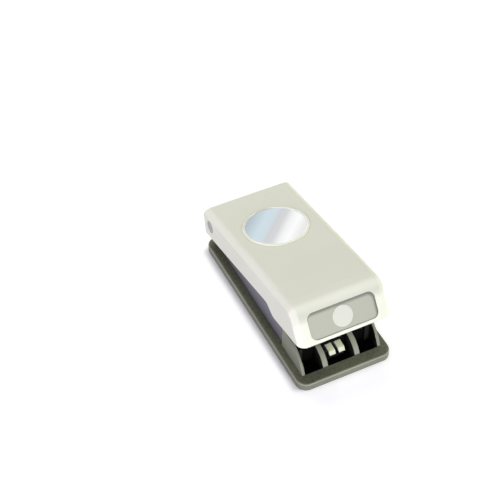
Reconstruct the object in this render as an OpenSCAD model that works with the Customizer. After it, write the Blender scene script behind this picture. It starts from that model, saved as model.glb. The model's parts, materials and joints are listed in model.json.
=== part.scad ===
// Circle craft punch: a lever at the back hinge presses a round cutter through the sheet.
// Front of the punch is -Y, top is +Z, and the origin is under the middle of the whole punch.
// Sizes are in millimetres, and the lever is drawn closed and then turned up to its rest.

/* [Cut] */
// Diameter of the circle that is cut
cut_d = 50.8; // [46:0.1:55]
// Distance from the hinge pin to the middle of the cut
punch_arm = 42.7; // [41:0.1:46]
// Distance from the middle of the cut to the sheet stop
throat_depth = 58; // [48:0.5:68]
// Height of the slot for the sheet
slot_h = 1.2; // [0.8:0.1:2]
// Thickness of the die plate
die_t = 2.4; // [1.6:0.1:3.2]
// Length of the die plate behind the die
die_tail = 10; // [6:0.5:14]

/* [Base] */
// Thickness of the base slab
slab_h = 7; // [5.5:0.1:8]
// Plan radius of the slab's corners
slab_corner_r = 8; // [5:0.5:12]
// Radius of the slab's top edge
slab_edge_r = 1.6; // [0.8:0.1:2.4]
// Slab that shows beside the lever
base_margin = 0.65; // [0.3:0.05:4]
// Slab that shows in front of the walls
front_lip = 9.2; // [6:0.1:14]
// Slab behind the hinge pin
base_tail = 9.2; // [6:0.1:12]
// Length of the walls in front of the head
wall_len = 32.5; // [30:0.5:40]
// Thickness of the outer walls
wall_t = 2.5; // [1.8:0.1:3.5]
// Height of the outer walls' top
wall_h = 26.3; // [23:0.1:28]
// Radius of the outer walls' curved front
wall_r = 30.3; // [28:0.1:34]
// Distance of each inner rib from the middle
rib_x = 13; // [12.5:0.1:16]
// Thickness of the inner ribs
rib_t = 4.2; // [3:0.1:5]
// Height of the inner ribs' top
rib_h = 17.3; // [16:0.1:19]
// Radius of the inner ribs' curved front
rib_r = 17.3; // [16:0.1:20]
// Thickness of the bottom plate
plate_t = 1.2; // [0.8:0.1:1.6]
// Gap between the bottom plate and the table
plate_lift = 0.6; // [0.4:0.1:1]
// Width of the slab's rim around the bottom plate
rim_t = 2.4; // [1.8:0.1:4]

/* [Head] */
// Metal beside the cutter's guide bore
guide_wall = 6.8; // [6.4:0.1:9]
// Thickness of the head's floor, which guides the cutter
head_floor_t = 7; // [6:0.1:8]
// Height of the head's side cheeks above its underside
cheek_h = 17.4; // [15:0.1:18]
// Thickness of the cheeks
cheek_t = 2.6; // [2:0.1:2.8]
// Length of the head's clamped front, from the sheet stop
clamp_len = 10.7; // [9:0.1:14]
// Length of the head's tongue between the outer walls
tongue_len = 11; // [9:0.1:12]
// Height of the hinge pin above the head's underside
pivot_h = 18.9; // [18:0.1:20]
// Radius of the hinge lugs
lug_r = 6.5; // [5.5:0.1:7]
// Thickness of each hinge lug
lug_t = 8.2; // [6:0.1:9]
// Thickness of the black block in front of the head
block_t = 6.7; // [5:0.1:8]
// Height of the black block above the slab
block_h = 15; // [12:0.5:17]

/* [Hinge] */
// Diameter of the hinge pin
pin_d = 5; // [4:0.1:6]
// Diameter of the hinge pin's ends
pin_head_d = 10; // [8:0.1:11]
// Thickness of the hinge pin's ends
pin_head_t = 1.2; // [1:0.1:1.4]
// Angle from the closed lever to the lever at rest
open_angle = 11.4; // [10:0.1:12]

/* [Lever] */
// Wall of the lever cover
lever_wall = 2.4; // [2:0.1:3]
// Gap between the head and the inside of the lever's skirts
skirt_gap = 2.6; // [1.6:0.05:3.2]
// Height of the lever's top above the hinge pin, closed
lever_rise = 11.5; // [10.8:0.1:12.5]
// Length of the lever behind the hinge pin
lever_tail = 11.8; // [10.4:0.1:13]
// Length of the lever past the walls' front
lip_overhang = 4.9; // [3:0.1:6.5]
// Depth of the skirt at the back of the lever
skirt_back = 22.9; // [21:0.1:24]
// Depth of the skirt just behind its step
skirt_waist = 19.5; // [18:0.1:21]
// Depth of the skirt at the front of the lever
skirt_front = 26.9; // [25:0.1:28.5]
// Distance of the skirt's step from the lip
step_back = 52.5; // [46:0.5:56]
// Length of the skirt's step
step_len = 9; // [8:0.5:14]
// Angle of the nose face from the flat top
nose_angle = 65.2; // [60:0.1:70]
// Radius between the top and the nose
nose_r = 10; // [8:0.5:12]
// Radius of the lever's outer edges
edge_r = 6.5; // [5:0.1:7]
// Radius of the edge between the top and the back
tail_r = 5.2; // [4:0.1:6]
// Radius of the lever's upright back corners
back_edge_r = 1; // [0.6:0.1:2]
// Distance from the lip to the start of the top's front slope
crown_back = 42; // [38:1:56]
// Angle of the top's front slope
crown_angle = 1.9; // [1:0.1:4]

/* [Emblem and label] */
// Distance of the emblem behind the middle of the cut
emblem_back = 2; // [-2:0.1:3]
// Width of the emblem's raised rim
emblem_rim = 2; // [1.5:0.1:3]
// Height of the emblem's raised rim
emblem_rise = 0.9; // [0.7:0.1:1.1]
// Thickness of the mirror disc
mirror_t = 1; // [0.8:0.1:1.3]
// Width of the label
label_w = 53.6; // [44:0.1:56]
// Height of the label
label_h = 20.4; // [16:0.1:21]
// Corner radius of the label
label_r = 5; // [2:0.5:6]
// Depth of the label's recess
label_deep = 1.1; // [0.8:0.1:1.2]
// Distance from the lever's top down to the label's middle
label_drop = 15.3; // [14.8:0.1:15.8]
// Diameter of the shape mark on the label
mark_d = 15.8; // [10:0.1:16.5]

/* [Punch] */
// Thickness of the cutter at its rim
cutter_t = 6; // [5:0.1:7]
// Depth of the cutter's hollow-ground face
cutter_hollow = 2.2; // [1:0.1:2.6]
// Height of the cutter's rim above the head's underside, at rest
cutter_lift = 1.6; // [1:0.1:2.4]
// Thickness of the plunger's flange
flange_t = 2.6; // [2:0.1:3]
// Width of the press pad
pad_w = 20; // [14:0.5:22]
// Length of the press pad
pad_l = 14; // [10:0.5:18]
// Diameter of the press bar
bar_d = 8; // [6:0.1:8.4]
// Half width of the lever beam
beam_half = 18.5; // [17:0.1:20]
// Thickness of the lever beam's sheet steel
beam_t = 1.4; // [1:0.1:1.8]
// Distance of the beam's web under the lever's top
beam_drop = 7.6; // [7:0.1:8.2]
// Length of the lever beam in front of the hinge pin
beam_len = 106.7; // [96:0.1:110]

/* [Springs] */
// Diameter of the spring wire
wire_d = 1; // [0.7:0.1:1.2]
// Mean diameter of each return spring
spring_d = 7.2; // [6.6:0.1:7.6]
// Turns of each return spring
spring_turns = 5.5; // [4:0.5:7]

/* [Lock] */
// Width of each prong
prong_w = 5.3; // [4:0.1:5.6]
// Gap between the prongs
prong_gap = 2.3; // [2:0.1:3.6]
// Length of the prongs in front of the block
prong_l = 8.3; // [7:0.1:9]
// Height of the prongs' top above the slab, at the block
prong_top = 5.1; // [4.8:0.1:6.5]
// Fall of the prongs' top towards their tips
prong_drop = 0.7; // [0.2:0.1:1]
// Thickness of the prongs at their tips
prong_t = 2.9; // [2.2:0.1:3.2]
// Slope of the prongs' front faces, measured along the punch
prong_lean = 2; // [1:0.1:2.4]
// Travel of the lock slide
lock_travel = 4.5; // [3.5:0.1:5]
// Thickness of the keeper inside the lever's nose
keeper_t = 1.6; // [1.2:0.1:2]

/* [Fits] */
// Running clearance around pins, and between cutter, die and guide, measured on the radius
run_fit = 0.05; // [0.02:0.01:0.1]
// Gap between pieces that slide past each other
slide_gap = 0.3; // [0.2:0.05:0.5]
// Gap between pieces that are screwed in place
seat_gap = 0.2; // [0.1:0.05:0.4]

/* [Hidden] */
$fn = 64;

// Widths, from the cutter outwards
cut_r = cut_d / 2;
chute_r = cut_r + 1.5;
head_half = cut_r + guide_wall;
skirt_half = head_half + skirt_gap;
lever_half = skirt_half + lever_wall;
base_half = lever_half + base_margin;
wall_in = head_half - wall_t;
tongue_half = wall_in - slide_gap;
bay_half = rib_x - rib_t / 2;

// Heights, from the table upwards
plate_z = plate_lift + plate_t;
die_z = slab_h + die_t;
head_z = die_z + slot_h;
floor_z = head_z + head_floor_t;
pivot_z = head_z + pivot_h;
top_z = pivot_z + lever_rise;

// Lengths, from the hinge pin forwards. The whole punch is centred on the origin.
tail_reach = (lever_tail - tail_r) * cos(open_angle) + (lever_rise - tail_r) * sin(open_angle) + tail_r;
pin_to_feet = punch_arm + throat_depth + clamp_len + wall_len;
pivot_y = (pin_to_feet + front_lip - tail_reach) / 2;
cut_y = pivot_y - punch_arm;
stop_y = cut_y - throat_depth;
head_front = stop_y - clamp_len;
tongue_front = head_front - tongue_len;
block_back = tongue_front - slide_gap;
block_front = block_back - block_t;
feet_y = pivot_y - pin_to_feet;
slab_front = feet_y - front_lip;
slab_back = pivot_y + base_tail;
lever_back = pivot_y + lever_tail;
lip_y = feet_y - lip_overhang;
head_back = pivot_y + (lever_tail - lever_wall) * cos(open_angle)
    - (skirt_back - lever_rise) * sin(open_angle) - slide_gap;

// Press bar, punch travel and the plunger's heights at rest
bar_r = bar_d / 2;
bar_z = pivot_z - seat_gap;
bar_lift = punch_arm * sin(open_angle) - (pivot_z - bar_z) * cos(open_angle);
punch_travel = bar_lift + (pivot_z - bar_z);
floor_gap = 0.6;
cutter_z = head_z + cutter_lift;
plunger_z = cutter_z + cutter_t;
flange_z = floor_z + floor_gap + punch_travel;
plunger_top = flange_z + flange_t;
pad_top = pivot_z + bar_lift - bar_r - seat_gap;
plunger_r = cut_r - slide_gap;
peg_r = 3;
peg_l = 2.8;

// Springs stand in pockets at the corners of the bore
pocket_r = spring_d / 2 + wire_d / 2 + 0.5;
pocket_floor = 2;
pocket_web = 4;
spring_off = (cut_r + pocket_r + pocket_web) * sqrt(0.5);
ear_r = pocket_r + 0.8;
spring_gap = 0.1;
spigot_r = spring_d / 2 - wire_d / 2 - 0.5;
spigot_l = 2;

// Points along the middle of a spring's wire
spring_low = head_z + pocket_floor + spring_gap + wire_d / 2;
spring_high = flange_z - spring_gap - wire_d / 2;
rings_per_turn = 8;
spring_rings = round(spring_turns * rings_per_turn);
spring_path = [for (k = [0 : spring_rings])
    let (a = 360 * k / rings_per_turn)
    [spring_d / 2 * cos(a), spring_d / 2 * sin(a),
        spring_low + (spring_high - spring_low) * k / spring_rings]];
spring_self_gap = min([for (i = [0 : spring_rings], j = [0 : spring_rings])
    if (j - i > rings_per_turn / 2) norm(spring_path[j] - spring_path[i])]) - wire_d;
echo(str("return spring, least gap to itself: ", spring_self_gap, " mm"));

// Screws
screw_r = 1.5;
screw_hole_r = screw_r + 0.2;
thread_fit = 0.03;
thread_end = 0.2;
thread_cap = 0.8;
sink_r = 3;
sink_gap = 0.1;
screw_head_t = 2;
plate_corner = 2;
head_screw_x = 20;
head_screw_ys = [head_front + clamp_len / 2, head_front - tongue_len / 2];
block_screw_x = 21;
plate_screw_x = base_half - rim_t - 5;
plate_screw_ys = [slab_front + rim_t + sink_r + 0.6, stop_y, slab_back - rim_t - sink_r - 2.6];
block_thread = 8;
block_bevel = 2.5;
cutter_screw_r = cut_r - 8.4;
cutter_screw_angles = [90, 210, 330];
cutter_thread = 2.5;
cutter_sink = 4;

// Hinge pin
pin_out = lever_half - 0.15;
pin_head_gap = 0.15;
cap_skin = 0.4;
spacer_wall = 2;
boss_r = pin_head_d / 2 + 3.2;
beam_ear_r = pin_d / 2 + 3.3;

// Lever cover
lip_back = lip_y - lever_back;
crown_y = lip_back + crown_back;
under = skirt_front + edge_r + 2;
nose_run = 1 / tan(nose_angle);
shoulder = let (k = tan(crown_angle), y0 = lip_back + skirt_front * nose_run)
    [(y0 - crown_y * k * nose_run) / (1 - k * nose_run), (y0 - crown_y) * k / (1 - k * nose_run)];
lever_outline = [
    [0, 0], [crown_y, 0], shoulder, [lip_back - (under - skirt_front) * nose_run, -under], [0, -under]
];
lever_radii = [tail_r, 300, nose_r, 0.2, tail_r];
lever_steps = [5, 3, 9, 1, 5];
emblem_r = cut_r;
emblem_y = cut_y + emblem_back - lever_back;
mirror_r = emblem_r - emblem_rim;
mirror_sink = 0.8;
rim_trim = 0.4;
rim_tube = (emblem_rim + rim_trim) / 2;
label_y = lip_back + (skirt_front - label_drop) * nose_run;
label_t = 0.4;
mark_t = 0.25;
label_fit = 0.12;
mirror_fit = 0.1;
stiffener_x = 24;
stiffener_t = 1.6;
stiffener_h = 4;
stiffener_step = 12;
tail_cut = 9;
tail_ease = 1.5;
beam_front = -lever_tail - beam_len;
beam_back = -lever_tail - 5;
beam_screw_x = 10;
beam_screw_in = 16;
beam_screw_ys = [beam_back - beam_screw_in, beam_front + beam_screw_in];
beam_thread = 3.5;
screw_boss_r = 3.2;

// Lower edge of the beam, which clears the plunger's back while the lever is up
beam_edge = plunger_top - (punch_arm - cut_r) * tan(open_angle) + floor_gap - pivot_z;

// Lock slide and the keeper that it catches
carriage_half = prong_gap / 2 + prong_w + 0.7;
carriage_z = plate_z + seat_gap;
carriage_t = 1.6;
carriage_back = block_back - slide_gap;
prong_z = slab_h + prong_top;
tip_z = prong_z - prong_drop;
tip_y = block_front - prong_l;
catch_gap = 1.3;
keeper_back = tip_y - catch_gap;
keeper_half = bay_half - 0.8;
keeper_bar = 1.9;
keeper_play = 0.5;
keeper_window = carriage_half + keeper_play;
keeper_low = tip_z - prong_t - keeper_play - keeper_bar;
thumb_half = 4.5;
thumb_l = 7;
thumb_y = carriage_back - thumb_l;
thumb_cover = 0.6;
carriage_front = thumb_y - lock_travel - slide_gap - thumb_cover;

// A 2D outline in Y and Z becomes a solid of width w across the punch
module side(w, x = 0) {
    translate([x, 0, 0]) rotate([90, 0, 90]) linear_extrude(w, center = true) children();
}

// Children drawn on the closed lever, measured from the back edge of its top, go to their rest
module at_rest() {
    translate([0, pivot_y, pivot_z]) rotate([-open_angle, 0, 0])
        translate([0, lever_tail, lever_rise]) children();
}

// Children on the XY plane lie on the nose face, at the label's middle
module on_nose() {
    translate([0, label_y, -label_drop]) rotate([nose_angle, 0, 0]) children();
}

module both_sides() {
    children();
    mirror([1, 0, 0]) children();
}

function unit(v) = v / norm(v);
function half_turn(a) = a - 360 * round(a / 360);

// The outline p moved inwards by d
function inset(p, d) = [for (i = [0 : len(p) - 1])
    let (n = len(p), u = unit(p[(i + n - 1) % n] - p[i]), v = unit(p[(i + 1) % n] - p[i]))
    p[i] + unit(u + v) * d / sin(acos(u * v) / 2)];

// The arc of radius r in the corner p between q and s, in n steps
function corner(q, p, s, r, n) =
    let (
        u = unit(q - p),
        v = unit(s - p),
        a = acos(u * v) / 2,
        c = p + unit(u + v) * r / sin(a),
        from = p + u * r / tan(a) - c,
        to = p + v * r / tan(a) - c,
        start = atan2(from[1], from[0]),
        sweep = half_turn(atan2(to[1], to[0]) - start)
    )
    [for (k = [0 : n]) c + r * [cos(start + sweep * k / n), sin(start + sweep * k / n)]];

// The outline p with radius r[i] in its corner i
function rounded(p, r, n) = [for (i = [0 : len(p) - 1])
    each corner(p[(i + len(p) - 1) % len(p)], p[i], p[(i + 1) % len(p)], r[i], n[i])];

function box_outline(x0, x1, y0, y1) = [[x0, y0], [x1, y0], [x1, y1], [x0, y1]];
function rounded_box(x0, x1, y0, y1, r, n = 8) =
    rounded(box_outline(x0, x1, y0, y1), [r, r, r, r], [n, n, n, n]);

// Loft through rings of points, each with the same count
module loft(rings) {
    n = len(rings[0]);
    m = len(rings);
    sides = [for (j = [0 : m - 2], i = [0 : n - 1])
        let (a = j * n + i, b = j * n + (i + 1) % n)
        each [[a, a + n, b], [b, a + n, b + n]]];
    ends = [[for (i = [0 : n - 1]) i], [for (i = [n - 1 : -1 : 0]) (m - 1) * n + i]];
    polyhedron([for (r = rings) each r], concat(ends, sides));
}

// A flat plate with round corners
module plate(x0, x1, y0, y1, z0, z1, r) {
    translate([0, 0, z0]) linear_extrude(z1 - z0) polygon(rounded_box(x0, x1, y0, y1, r));
}

// A screw from below with a countersunk head in the bottom plate
module screw(x, y, top, r = screw_r) {
    translate([x, y, plate_lift]) cylinder(h = plate_t, r1 = sink_r, r2 = r);
    translate([x, y, plate_z]) cylinder(h = top - plate_z, r = r);
}

module screw_hole(x, y, z0, z1, r = screw_hole_r) {
    translate([x, y, z0]) cylinder(h = z1 - z0, r = r);
}

module sink(x, y, r = screw_r) {
    translate([x, y, plate_lift]) cylinder(h = plate_t, r1 = sink_r + sink_gap, r2 = r + sink_gap);
    screw_hole(x, y, plate_lift - 1, plate_lift + 0.01, sink_r + sink_gap);
    screw_hole(x, y, plate_z - 0.01, plate_z + 1, r + sink_gap);
}

module at_head_screws() {
    for (x = [-1, 1] * head_screw_x, y = head_screw_ys) translate([x, y, 0]) children();
}

module at_block_screws() {
    for (x = [-1, 1] * block_screw_x) translate([x, (block_front + block_back) / 2, 0]) children();
}

module at_plate_screws() {
    for (x = [-1, 1] * plate_screw_x, y = plate_screw_ys) translate([x, y, 0]) children();
}

module at_springs() {
    for (x = [-1, 1], y = [-1, 1]) translate([x * spring_off, cut_y + y * spring_off, 0]) children();
}

// A wall whose top curves down to the slab at the feet line
module curved_wall(x, t, h, r, back) {
    mid_z = h - r;
    mid_y = feet_y + sqrt(r * r - pow(slab_h - mid_z, 2));
    start = atan2(slab_h - mid_z, feet_y - mid_y);
    steps = 14;
    stop = max(90, acos(min(1, (back - mid_y) / r)));
    arc = [for (k = [0 : steps])
        let (a = start + (stop - start) * k / steps) [mid_y + r * cos(a), mid_z + r * sin(a)]];
    side(t, x) polygon(concat([[feet_y, plate_z]], arc, [[back, arc[steps][1]], [back, plate_z]]));
}

module slab() {
    outline = box_outline(-base_half, base_half, slab_front, slab_back);
    foot = 0.4;
    steps = 5;
    layers = concat([[0, foot], [foot, 0]], [for (k = [0 : steps])
        let (a = 90 * k / steps)
        [slab_h - slab_edge_r + slab_edge_r * sin(a), slab_edge_r * (1 - cos(a))]]);
    r = [1, 1, 1, 1] * slab_corner_r;
    loft([for (s = layers) [for (p = rounded(inset(outline, s[1]), r - [1, 1, 1, 1] * s[1], [8, 8, 8, 8]))
        [p[0], p[1], s[0]]]]);
}

// Open bays between the walls and ribs, down to the bottom plate
module bays() {
    deep = slab_h + 1;
    both_sides() translate([rib_x + rib_t / 2, feet_y, 0])
        cube([wall_in - rib_x - rib_t / 2, block_back - feet_y, deep]);
    translate([-bay_half, feet_y, 0]) cube([2 * bay_half, block_back - feet_y, deep]);
}

module base_tray() {
    gusset_w = 4;
    gusset_t = 1.5;
    gusset_drop = 7.3;
    color([0.44, 0.45, 0.40]) difference() {
        union() {
            difference() {
                slab();
                bays();
            }
            both_sides() {
                curved_wall(head_half - wall_t / 2, wall_t, wall_h, wall_r, head_front - seat_gap);
                curved_wall(rib_x, rib_t, rib_h, rib_r, block_front - seat_gap);
                translate([wall_in - gusset_w, block_front - seat_gap - gusset_t, plate_z])
                    cube([gusset_w + wall_t / 2, gusset_t, wall_h - gusset_drop - plate_z]);
            }
        }
        plate(-base_half + rim_t, base_half - rim_t, slab_front + rim_t, slab_back - rim_t,
            -1, plate_z, slab_corner_r - rim_t);
        translate([0, cut_y, 0]) cylinder(h = slab_h + 1, r = chute_r);
        at_head_screws() screw_hole(0, 0, 0, slab_h + 1);
        at_plate_screws() screw_hole(0, 0, 0, slab_h - thread_cap, screw_r + thread_fit);
    }
}

module bottom_plate() {
    gap = rim_t + seat_gap;
    color([0.07, 0.07, 0.07]) difference() {
        plate(-base_half + gap, base_half - gap, slab_front + gap, slab_back - gap,
            plate_lift, plate_z, slab_corner_r - gap);
        translate([0, cut_y, 0]) cylinder(h = slab_h, r = chute_r);
        at_head_screws() sink(0, 0);
        at_block_screws() sink(0, 0);
        at_plate_screws() sink(0, 0);
        translate([-thumb_half - slide_gap, thumb_y - lock_travel - slide_gap, 0])
            cube([2 * (thumb_half + slide_gap), thumb_l + lock_travel + 2 * slide_gap, slab_h]);
    }
}

module plate_screws() {
    color("silver") at_plate_screws() screw(0, 0, slab_h - thread_cap - thread_end);
}

module die_plate() {
    color([0.55, 0.56, 0.58]) difference() {
        plate(-tongue_half, tongue_half, tongue_front, cut_y + cut_r + die_tail,
            slab_h, die_z, plate_corner);
        translate([0, cut_y, 0]) cylinder(h = die_z + 1, r = cut_r + run_fit, $fn = 128);
        at_head_screws() screw_hole(0, 0, 0, die_z + 1);
    }
}

module slot_spacer() {
    color([0.4, 0.41, 0.43]) difference() {
        plate(-tongue_half, tongue_half, tongue_front, stop_y, die_z, head_z, plate_corner);
        at_head_screws() screw_hole(0, 0, 0, head_z + 1);
    }
}

// Side view of a hinge lug: a web from the floor that ends round the pin
module lug_outline() {
    web_front = cut_y + spring_off + ear_r + floor_gap;
    translate([pivot_y, pivot_z]) circle(r = lug_r);
    polygon([
        [web_front, head_z + 1], [head_back, head_z + 1], [head_back, floor_z],
        [pivot_y + lug_r * cos(15), pivot_z - lug_r * sin(15)],
        [pivot_y - lug_r * cos(40), pivot_z + lug_r * sin(40)], [web_front, head_z + cheek_h]
    ]);
}

module cutting_head() {
    cheek_back = pivot_y - lug_r;
    cheek_top = head_z + cheek_h;
    corner = 2.5;
    color([0.46, 0.45, 0.50]) difference() {
        union() {
            intersection() {
                union() {
                    plate(-head_half, head_half, head_front, head_back, head_z, floor_z, corner);
                    both_sides() {
                        side(cheek_t, head_half - cheek_t / 2) polygon([
                            [head_front, head_z + 1], [cheek_back, head_z + 1],
                            [cheek_back, cheek_top], [head_front, cheek_top]
                        ]);
                        side(lug_t, head_half - lug_t / 2) lug_outline();
                    }
                }
                plate(-head_half, head_half, head_front, pivot_y + lug_r + 2, 0, top_z, corner);
            }
            plate(-tongue_half, tongue_half, tongue_front, head_front + clamp_len / 2,
                head_z, floor_z, plate_corner);
        }
        translate([0, cut_y, 0]) cylinder(h = floor_z + 1, r = cut_r + run_fit, $fn = 128);
        at_springs() translate([0, 0, head_z + pocket_floor]) cylinder(h = head_floor_t, r = pocket_r);
        at_head_screws() screw_hole(0, 0, 0, floor_z - thread_cap, screw_r + thread_fit);
        translate([0, pivot_y, pivot_z]) rotate([0, 90, 0])
            cylinder(h = 2 * lever_half, r = pin_d / 2 + thread_fit, center = true);
    }
}

module head_screws() {
    color("silver") at_head_screws() screw(0, 0, floor_z - thread_cap - thread_end);
}

// Black block that closes the throat behind the ribs, with feet in the outer bays and a tunnel
// for the lock slide
module front_block() {
    foot_x = rib_x + rib_t / 2 + seat_gap;
    color([0.05, 0.05, 0.05]) difference() {
        union() {
            side(2 * tongue_half) polygon([
                [block_front, slab_h], [block_back, slab_h], [block_back, slab_h + block_h],
                [block_front + block_bevel, slab_h + block_h], [block_front, slab_h + block_h - block_bevel]
            ]);
            both_sides() translate([foot_x, block_front, plate_z])
                cube([tongue_half - foot_x, block_t - seat_gap, slab_h + 1 - plate_z]);
        }
        translate([-carriage_half - slide_gap, block_front - 1, slab_h - 1])
            cube([2 * (carriage_half + slide_gap), block_t + 2, prong_top + slide_gap + 1]);
        at_block_screws() screw_hole(0, 0, 0, slab_h + block_thread, screw_r + thread_fit);
    }
}

module block_screws() {
    color("silver") at_block_screws() screw(0, 0, slab_h + block_thread - thread_end);
}

// The pin has a flat head on the left and takes a press-on cap on the right
module hinge_pin() {
    color([0.67, 0.66, 0.66]) translate([0, pivot_y, pivot_z]) rotate([0, 90, 0]) {
        translate([0, 0, -pin_out]) cylinder(h = pin_head_t, r = pin_head_d / 2);
        translate([0, 0, -pin_out]) cylinder(h = 2 * pin_out - cap_skin, r = pin_d / 2);
    }
}

module pin_cap() {
    color([0.67, 0.66, 0.66]) translate([pin_out - pin_head_t, pivot_y, pivot_z]) rotate([0, 90, 0])
        difference() {
            cylinder(h = pin_head_t, r = pin_head_d / 2);
            translate([0, 0, -1]) cylinder(h = pin_head_t + 1 - cap_skin, r = pin_d / 2 + thread_fit);
        }
}

module pin_spacer(s) {
    from = beam_half + slide_gap;
    to = head_half - lug_t - slide_gap;
    color([0.85, 0.85, 0.8]) translate([s * (from + to) / 2, pivot_y, pivot_z]) rotate([0, 90, 0])
        difference() {
            cylinder(h = to - from, r = pin_d / 2 + spacer_wall, center = true);
            cylinder(h = to, r = pin_d / 2 + run_fit, center = true);
        }
}

module return_spring(sx, sy) {
    sides = 6;
    rise = atan2((spring_high - spring_low) / spring_turns, PI * spring_d);
    rings = [for (k = [0 : spring_rings])
        let (
            a = 360 * k / rings_per_turn,
            out = [cos(a), sin(a), 0],
            up = [sin(a) * sin(rise), -cos(a) * sin(rise), cos(rise)]
        )
        [for (s = [0 : sides - 1])
            spring_path[k] + wire_d / 2 * (out * cos(360 * s / sides) - up * sin(360 * s / sides))]];
    color([0.7, 0.7, 0.72]) translate([sx * spring_off, cut_y + sy * spring_off, 0]) loft(rings);
}

// The cutter's rim is lowest at front and back, so that it shears from there to the middle
module cutter() {
    land = 1;
    hollow_r = (pow(cut_r - land, 2) + cutter_hollow * cutter_hollow) / (2 * cutter_hollow);
    color([0.72, 0.73, 0.75]) difference() {
        translate([0, cut_y, cutter_z]) cylinder(h = cutter_t, r = cut_r, $fn = 128);
        translate([0, cut_y, cutter_z + cutter_hollow - hollow_r]) rotate([0, 90, 0])
            cylinder(h = 2 * cut_d, r = hollow_r, center = true, $fn = 256);
        at_cutter_screws() screw_hole(0, 0, plunger_z - cutter_thread, plunger_z + 1, screw_r + thread_fit);
    }
}

module at_cutter_screws() {
    for (a = cutter_screw_angles)
        translate([cutter_screw_r * cos(a), cut_y + cutter_screw_r * sin(a), 0]) children();
}

// Plunger: a round body with a cross-shaped flange whose ears sit on the springs
module plunger() {
    arm_w = 2 * ear_r - 1;
    color([0.12, 0.12, 0.13]) difference() {
        union() {
            translate([0, cut_y, plunger_z]) cylinder(h = plunger_top - plunger_z, r = plunger_r);
            translate([0, cut_y, flange_z]) linear_extrude(flange_t) {
                for (a = [45, 135]) rotate(a) square([2 * spring_off * sqrt(2), arm_w], center = true);
                for (x = [-1, 1] * spring_off, y = [-1, 1] * spring_off) translate([x, y]) circle(r = ear_r);
            }
            at_springs() translate([0, 0, flange_z - spigot_l]) cylinder(h = spigot_l + 1, r = spigot_r);
        }
        at_cutter_screws() screw_hole(0, 0, plunger_z - 1, plunger_top + 1);
        at_cutter_screws() screw_hole(0, 0, plunger_top - cutter_sink, plunger_top + 1, sink_r + seat_gap);
        translate([0, cut_y, plunger_top - peg_l - seat_gap]) cylinder(h = peg_l + 1, r = peg_r + run_fit);
    }
}

module cutter_screws() {
    tip_z = plunger_z - cutter_thread + thread_end;
    head_low = plunger_top - cutter_sink;
    color("silver") at_cutter_screws() {
        translate([0, 0, head_low]) cylinder(h = screw_head_t, r = sink_r);
        translate([0, 0, tip_z]) cylinder(h = head_low + screw_head_t / 2 - tip_z, r = screw_r);
    }
}

module press_pad() {
    color([0.9, 0.9, 0.86]) {
        plate(-pad_w / 2, pad_w / 2, cut_y - pad_l / 2, cut_y + pad_l / 2, plunger_top, pad_top, 2);
        translate([0, cut_y, plunger_top - peg_l]) cylinder(h = peg_l + 0.5, r = peg_r);
    }
}

// Lever outline moved inwards by d, as points, with its back line moved less past the wall
function lever_ring(d, wall) =
    let (
        p = inset(lever_outline, d),
        ease = [(d - wall) * (1 - back_edge_r / edge_r), 0]
    )
    rounded([p[0] + ease, p[1], p[2], p[3], p[4] + ease],
        [for (r = lever_radii) max(0.1, r - d)], lever_steps);

// Form of the lever, moved inwards by wall: the side outline with its edges rounded
module lever_form(wall = 0) {
    steps = 6;
    half = lever_half - wall;
    r = edge_r - wall;
    right = [for (k = [0 : steps])
        let (a = 90 * k / steps) [half - r + r * sin(a), wall + r * (1 - cos(a))]];
    all = concat([for (k = [steps : -1 : 0]) [-right[k][0], right[k][1]]], right);
    loft([for (s = all) [for (p = lever_ring(s[1], wall)) [s[0], p[0], p[1]]]]);
}

// What lies below the skirt's lower edge, with its step down towards the front
module below_skirt() {
    step_y = lip_back + step_back;
    behind = 8;
    ahead = lip_back - 20;
    deep = -under - 20;
    tail_turn = 5;
    waist_turn = 9;
    step_turn = 6;
    edge = [[behind, tail_cut - skirt_back], [-tail_ease, -skirt_back], [step_y, -skirt_waist],
        [step_y - step_len, -skirt_front], [ahead, -skirt_front], [ahead, deep], [behind, deep]];
    radii = [0.1, tail_turn, waist_turn, step_turn, 0.1, 0.1, 0.1];
    side(4 * lever_half) polygon(rounded(edge, radii, [1, 4, 6, 6, 1, 1, 1]));
}

// Ribs and bosses that stand in the shell's hollow
module cover_inside() {
    cross_ys = [for (k = [-2 : 1]) crown_y + k * stiffener_step];
    deep = lever_wall + stiffener_h;
    both_sides() translate([stiffener_x, cross_ys[0], -deep])
        cube([stiffener_t, -lever_tail - boss_r - cross_ys[0], deep]);
    for (y = cross_ys) translate([-lever_half, y, -deep]) cube([2 * lever_half, stiffener_t, deep]);
    for (x = [-1, 1] * beam_screw_x, y = beam_screw_ys) translate([x, y, -beam_drop])
        cylinder(h = beam_drop, r = screw_boss_r);
    both_sides() translate([head_half + slide_gap, -lever_tail, -lever_rise]) rotate([0, 90, 0])
        cylinder(h = skirt_gap + lever_wall, r = boss_r);
}

// Raised ring with a round crest around the mirror
module emblem_ring() {
    translate([0, emblem_y, emblem_rise - rim_tube]) rotate_extrude($fn = 96)
        translate([emblem_r - rim_tube, 0]) circle(r = rim_tube, $fn = 32);
}

// Plate inside the nose with a window for the lock's prongs
module keeper() {
    back = keeper_back - lever_back;
    low = keeper_low - top_z;
    intersection() {
        side(2 * lever_half - lever_wall) polygon(inset(lever_outline, lever_wall / 2));
        difference() {
            translate([-keeper_half, back - keeper_t, low]) cube([2 * keeper_half, keeper_t, top_z]);
            translate([-keeper_window, back - 2 * keeper_t, low + keeper_bar])
                cube([2 * keeper_window, 3 * keeper_t, prong_t + 2 * keeper_play]);
        }
    }
}

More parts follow.
